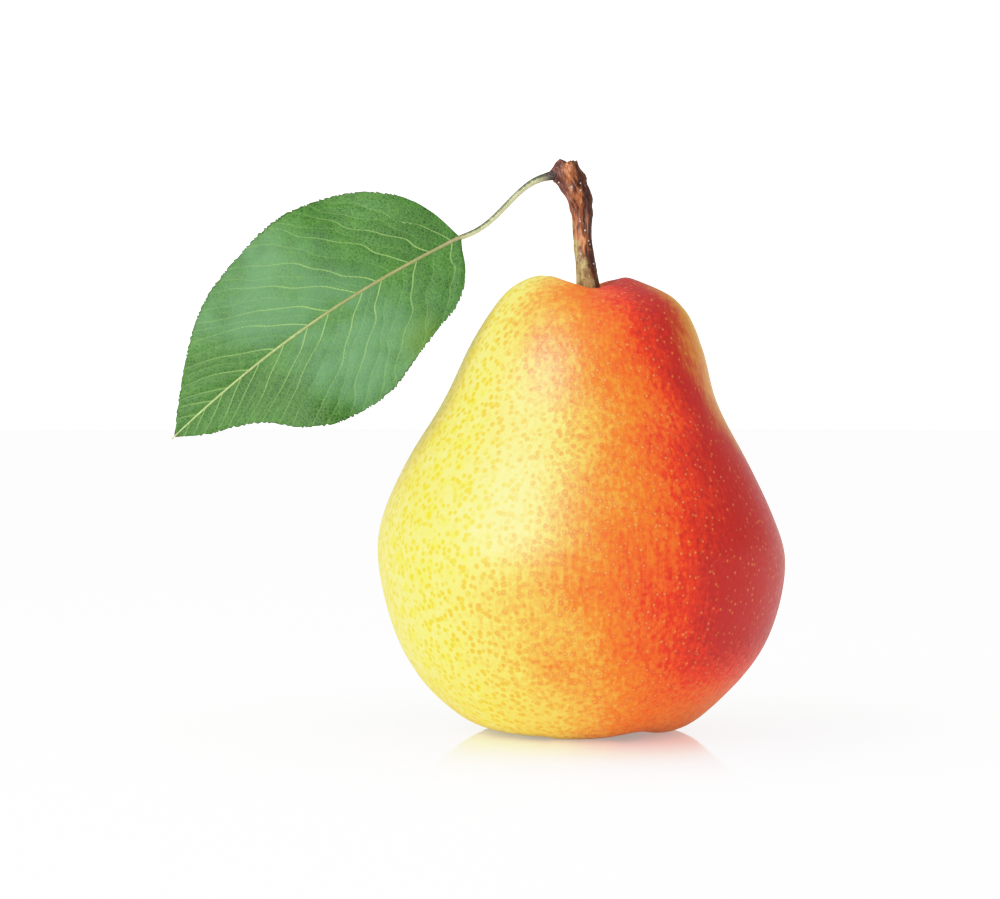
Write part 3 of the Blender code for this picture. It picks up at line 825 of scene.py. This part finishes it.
def buildStalk(material):
    stalkShares = np.linspace(-0.03, 1, leaf["stalkRings"], endpoint=False)
    path = stalkStart + (bladeBase - stalkStart) * stalkShares[:, None]
    path[:, 2] += leaf["stalkArch"] * np.sin(np.pi * stalkShares)
    path[:, 2] += leaf["stalkSway"] * np.sin(2 * np.pi * stalkShares)
    ribShares = np.linspace(0, 1.012, leaf["ribRings"])
    path = np.vstack([path, midribPoint(ribShares)])
    radii = np.concatenate([
        np.interp(shares, *np.array(leaf[name]).T)
        for shares, name in ((stalkShares, "stalkRadius"), (ribShares, "ribRadius"))
    ])
    progress = np.concatenate([stalkShares, 1 + ribShares])
    for _ in range(12):  # eases the joint between stalk and midrib
        path[1:-1] = (path[:-2] + 2 * path[1:-1] + path[2:]) / 4
    tangents = np.gradient(path, axis=0)
    tangents /= np.linalg.norm(tangents, axis=1)[:, None]
    angles = 2 * np.pi * np.arange(leaf["stalkSides"]) / leaf["stalkSides"]
    points, topness = [], []
    for middle, tangent, radius, where in zip(path, tangents, radii, progress):
        acrossHere = leafAcross - tangent * leafAcross.dot(tangent)
        acrossHere /= np.linalg.norm(acrossHere)
        outHere = np.cross(acrossHere, tangent)
        channel = 0.22 * np.exp(-(((angles - np.pi / 2) / 0.5) ** 2)) * np.clip(1.3 - where, 0, 1)
        grain = 1 + 0.05 * np.sin(3 * angles + 9 * where)
        ring = np.outer(np.cos(angles), acrossHere) + np.outer(np.sin(angles), outHere)
        points.append(middle + ring * (radius * (1 - channel) * grain)[:, None])
        topness.append(np.sin(angles) * outHere[2] + np.cos(angles) * acrossHere[2])
    count = leaf["stalkSides"]
    rings = len(points)
    flat = np.vstack(points)
    faces = gridFaces(rings, count, tube=True)
    faces.append(tuple(range(count))[::-1])
    faces.append(tuple(range((rings - 1) * count, rings * count)))
    piece = makePiece("leafStalk", flat, faces, material, "leaf")
    setAttribute(piece.data, "stalkPlace", np.repeat(progress, count))
    setAttribute(piece.data, "topness", np.concatenate(topness))
    return piece


def buildLeafMaterial():
    material, tree, shader = newMaterial("leafGreen", Specular_IOR_Level=0.10)
    position = objectPlace(tree)
    share, side, count, spacing, force, face = readAttributes(
        tree, "leafShare", "leafSide", "veinCount", "veinSpacing", "veinForce", "leafFace"
    )
    gap = times(calc("ABSOLUTE", calc("SUBTRACT", count, calc("ROUND", count))), spacing)
    broad = patches(position, 0.009, 3.0)
    small = patches(position, 0.0005, 3.0)
    colour = ramp(timesPlus(broad, 0.55, times(small, 0.45)), (
        (0.0, (0.018, 0.080, 0.010)), (0.4, (0.028, 0.114, 0.012)),
        (0.7, (0.050, 0.175, 0.020)), (1.0, (0.085, 0.26, 0.035)),
    ))
    # Painted sheen: bluish patches in a band over the middle stand in for the leaf's glossy reflection, and
    # a deep green runs from there to the tip
    bandPlace = timesPlus(side, -0.13, share)
    band = ramp(bandPlace, ((0.0, 0.05), (0.20, 0.10), (0.38, 1.0), (0.63, 1.0), (0.71, 0.08), (1.0, 0.0)))
    sheenPatches = times(timesPlus(patches(position, 0.012, 2.0, 0.38, 0.62), 0.8, 0.2), band)
    # Painted sheen: bluish colour mixed in where the leaf would mirror the light
    colour = tint(colour, (0.145, 0.34, 0.165), sheenPatches, 0.66)
    colour = tint(colour, (0.022, 0.105, 0.006), soften(bandPlace, 0.64, 0.76), 0.58)
    # A yellowing fold at the lower margin
    fold = times(soften(side, -0.55, -0.85), soften(share, 0.16, 0.24), soften(share, 0.36, 0.28))
    colour = tint(colour, (0.22, 0.33, 0.03), fold, 0.32)
    # The net between the veins, the veins, the brown rim and the tip
    fineLines, broadLines = netMask(position, 0.00058, 0.26), netMask(position, 0.0021, 0.055)
    lines = calc("MAXIMUM", times(fineLines, 0.34), times(broadLines, 0.42))
    colour = tint(colour, (0.15, 0.36, 0.060), lines)
    vein = times(soften(gap, 0.16, 0.05), force)
    colour = tint(colour, (0.36, 0.58, 0.17), vein, 0.85)
    rim = times(soften(calc("ABSOLUTE", side), 0.975, 0.99), broad)
    colour = tint(colour, (0.045, 0.065, 0.015), rim, 0.6)
    colour = tint(colour, (0.12, 0.06, 0.03), soften(share, 0.985, 0.998))
    # The underside is paler and duller
    under = tint((0.24, 0.36, 0.17), (0.42, 0.52, 0.28), vein)
    under = tint(under, (0.36, 0.47, 0.26), lines, 1.5)
    colour = tint(under, colour, face)
    roughness = calc("SUBTRACT", timesPlus(sheenPatches, 0.06, 0.50), times(face, 0.04))
    relief = calc("SUBTRACT", times(small, 0.6), times(lines, 1.2))
    relief = calc("SUBTRACT", relief, times(vein, 0.7))
    finishShader(shader, colour, roughness, relief, 0.05 * mm)
    return material


def buildStalkMaterial():
    material, tree, shader = newMaterial("leafStalk", Specular_IOR_Level=0.2)
    where, top = readAttributes(tree, "stalkPlace", "topness")
    freckle = patches(objectPlace(tree), 0.0007, 3.0, 0.35, 0.65)
    stalk = ramp(soften(sway(top, freckle, 0.24), -0.6, 0.95), (
        (0.0, (0.66, 0.66, 0.42)), (0.45, (0.50, 0.54, 0.27)),
        (0.75, (0.20, 0.22, 0.09)), (1.0, (0.07, 0.075, 0.035)),
    ))
    stalk = tint(stalk, (0.055, 0.035, 0.03), soften(where, 0.22, 0.02))
    rib = ramp(calc("SUBTRACT", where, 1.0), (
        (0.0, (0.42, 0.38, 0.18)), (0.12, (0.38, 0.39, 0.15)), (0.40, (0.33, 0.38, 0.12)),
        (0.60, (0.46, 0.56, 0.19)), (1.0, (0.54, 0.72, 0.28)),
    ))
    # Brown along both edges of the midrib, up to its middle
    edge = times(soften(calc("ABSOLUTE", top), 0.35, 0.75), soften(where, 1.62, 1.35))
    rib = tint(rib, (0.27, 0.13, 0.04), edge, 0.4)
    rib = tint(rib, (0.24, 0.26, 0.10), freckle, 0.3)
    colour = tint(stalk, rib, soften(where, 0.93, 1.04))
    finishShader(shader, colour, timesPlus(freckle, 0.2, 0.38), freckle, 0.08 * mm)
    return material


leafBlade = buildBlade(buildLeafMaterial())
leafStalk = buildStalk(buildStalkMaterial())
print("leaf", len(leafBlade.data.polygons) + len(leafStalk.data.polygons), "faces")


# Calyx
calyx = {
    "sides": 150, "rings": 26, "sepals": 5, "discShare": 0.40, "sharpness": 2.5, "curl": 1.5,
    "thickness": 0.8 * mm, "tipThickness": 0.3 * mm, "wrinkle": 0.28 * mm,
}


def buildCalyx():
    middle = (calyxLow + calyxHigh) / 2
    reach = (calyxHigh.x - middle.x + calyxHigh.y - middle.y) / 2
    seat = calyxHigh.z
    droop = seat - calyxLow.z - calyx["tipThickness"]
    core = Vector((fruitCore.x, fruitCore.y, 0))
    points = []
    for under in (0, 1):
        shares = [ring / calyx["rings"] for ring in range(1, calyx["rings"] + 1)]
        for share in (shares if not under else shares[::-1]):
            thick = calyx["thickness"] + (calyx["tipThickness"] - calyx["thickness"]) * share
            for side in range(calyx["sides"]):
                angle = 2 * math.pi * side / calyx["sides"]
                sepal = abs(math.cos(calyx["sepals"] * angle / 2)) ** calyx["sharpness"]
                radius = share * reach * (calyx["discShare"] + (1 - calyx["discShare"]) * sepal)
                x, y = radius * math.cos(angle), radius * math.sin(angle)
                crease = noise.noise(Vector((x / (1.1 * mm), y / (1.1 * mm), 3.0)))
                crease += 0.5 * math.cos(3 * calyx["sepals"] * angle) * share
                z = seat - 0.1 * mm - droop * (radius / reach) ** calyx["curl"] - thick * under
                z += calyx["wrinkle"] * crease * share
                points.append((core.x + x, core.y + y, max(min(z, seat), calyxLow.z)))
    sides = calyx["sides"]
    rows = 2 * calyx["rings"]
    faces = gridFaces(rows, sides, tube=True, turned=True)
    points.append((core.x, core.y, seat - 0.1 * mm))
    points.append((core.x, core.y, seat - 0.1 * mm - calyx["thickness"]))
    topMiddle = rows * sides
    for side in range(sides):
        after = (side + 1) % sides
        faces.append((side, after, topMiddle))
        faces.append(((rows - 1) * sides + after, (rows - 1) * sides + side, topMiddle + 1))
    return makePiece("calyxHusk", points, faces, buildHuskMaterial(), "calyx")


def buildHuskMaterial():
    material, tree, shader = newMaterial("calyxHusk", Specular_IOR_Level=0.25)
    position = objectPlace(tree)
    dry = patches(position, 0.0012, 5.0)
    cracks = netMask(position, 0.0007, 0.12)
    colour = ramp(dry, (
        (0.0, (0.030, 0.018, 0.010)), (0.5, (0.095, 0.058, 0.030)), (1.0, (0.22, 0.15, 0.085)),
    ))
    colour = tint(colour, (0.02, 0.012, 0.008), cracks, 0.5)
    finishShader(shader, colour, timesPlus(dry, 0.2, 0.7), calc("SUBTRACT", dry, cracks), 0.2 * mm)
    return material


calyxHusk = buildCalyx()
print("calyx", len(calyxHusk.data.polygons), "faces")


# Table, light and camera
studio = {
    "floorRadius": 1.6, "floorColour": (0.88, 0.88, 0.88), "floorGlow": 0.62, "floorBounce": 0.12,
    "shineReach": (0.018, 0.095),
    "backdrop": 1.75,
    "fill": (0.90, 0.92),  # soft light from the right and from the left
    "roomBehind": 0.38, "roomEdge": 1.15, "roomFront": 0.08, "roomAbove": 0.8,  # what the skin mirrors
    # Azimuth and elevation seen from the pear, distance, size and watts
    "keyShine": (-42, 27, 0.60, (0.42, 0.60), 11.0),
    "keyFill": (-50, 40, 0.80, (0.50, 0.50), 1.8),
    "viewWidth": 0.184, "cameraDistance": 0.70, "cameraHeight": 0.080, "aimHeight": 0.0518,
    "cameraShift": -0.01494, "sensorWidth": 36.0,
    # A soft shoulder: light over three quarters is eased in below white
    "whiteLevel": 1.8, "shoulder": ((0.38, 0.684), (0.50, 0.86), (0.70, 0.96)),
}


def buildFloor():
    shape = bmesh.new()
    bmesh.ops.create_circle(shape, cap_ends=True, radius=studio["floorRadius"], segments=96)
    mesh = bpy.data.meshes.new("floor")
    shape.to_mesh(mesh)
    shape.free()
    floor = addObject("floor", mesh)
    material, tree, shader = newMaterial(
        "whiteTable", Roughness=0.6, Specular_IOR_Level=0.2, Coat_Roughness=0.06, Coat_IOR=1.9,
    )
    away = roundFruit(objectPlace(tree))[1]
    tree.links.new(soften(away, *studio["shineReach"], 1.0, 0.0), shader.inputs["Coat Weight"])
    shader.inputs["Base Color"].default_value = (*studio["floorColour"], 1.0)
    shader.inputs["Emission Color"].default_value = (1.0, 1.0, 1.0, 1.0)
    seen = addNode(tree, "LightPath")["Is Camera Ray"]
    glow = timesPlus(seen, studio["floorGlow"] - studio["floorBounce"], studio["floorBounce"])
    tree.links.new(glow, shader.inputs["Emission Strength"])
    mesh.materials.append(material)


# The camera sees plain white. Soft light comes from all round, a little more from the left, and what
# the skin mirrors is a dim room with a white wall behind the pear.
def buildWorld():
    world = bpy.data.worlds.new("studio")
    bpy.context.scene.world = world
    world.use_nodes = True
    tree = world.node_tree
    tree.nodes.clear()
    heading = addNode(tree, "TexCoord")["Generated"]
    right, back, up = nextNode("SeparateXYZ", {0: heading})
    fill = soften(right, 0.8, -0.8, *studio["fill"])
    room = soften(back, 0.30, 0.85, studio["roomFront"], studio["roomBehind"])
    room = calc("MAXIMUM", room, soften(up, 0.5, 0.9, 0.0, studio["roomAbove"]))
    room = calc("MAXIMUM", room, soften(calc("ABSOLUTE", up), 0.17, 0.11, 0.0, studio["roomEdge"]))
    ray = addNode(tree, "LightPath")
    level = nextNode("Mix", {0: ray["Is Glossy Ray"], 2: fill, 3: room})[0]
    level = nextNode("Mix", {0: ray["Is Camera Ray"], 2: level, 3: studio["backdrop"]})[0]
    light = nextNode("Background", {"Color": (1.0, 1.0, 1.0, 1.0), "Strength": level})
    nextNode("OutputWorld", {"Surface": light[0]}, is_active_output=True)


def addSoftbox(name, diffuse=True, glossy=True):
    azimuth, elevation, distance, size, watts = studio[name]
    light = bpy.data.lights.new(name, "AREA")
    light.shape = "RECTANGLE"
    light.size, light.size_y = size
    light.energy = watts
    box = addObject(name, light)
    aim = Vector((fruitCore.x, fruitCore.y, fruitHeight * 0.5))
    turn, lift = math.radians(azimuth), math.radians(elevation)
    away = Vector((math.sin(turn) * math.cos(lift), -math.cos(turn) * math.cos(lift), math.sin(lift)))
    box.location = aim + away * distance
    box.rotation_euler = away.to_track_quat("Z", "Y").to_euler()
    box.visible_diffuse = diffuse
    box.visible_glossy = glossy


def buildCamera():
    data = bpy.data.cameras.new("camera")
    camera = addObject("camera", data)
    bpy.context.scene.camera = camera
    x = fruitMiddle.x + studio["cameraShift"]
    aim = Vector((x, fruitCore.y, studio["aimHeight"]))
    camera.location = (x, fruitCore.y - studio["cameraDistance"], studio["cameraHeight"])
    toAim = aim - camera.location
    camera.rotation_euler = toAim.to_track_quat("-Z", "Y").to_euler()
    data.sensor_width = studio["sensorWidth"]
    data.lens = data.sensor_width * toAim.length / studio["viewWidth"]
    data.clip_start, data.clip_end = 0.01, 20.0


def setExposure():
    view = bpy.context.scene.view_settings
    view.view_transform = "Standard"
    view.look = "None"
    view.use_curve_mapping = True
    mapping = view.curve_mapping
    mapping.white_level = [studio["whiteLevel"]] * 3
    curve = mapping.curves[3]
    for x, y in studio["shoulder"]:
        curve.points.new(x, y)
    curve.points[-1].location = (1.0, 1.0)
    mapping.update()


buildFloor()
buildWorld()
addSoftbox("keyShine", diffuse=False)
addSoftbox("keyFill", glossy=False)
buildCamera()
setExposure()
print("studio ready")
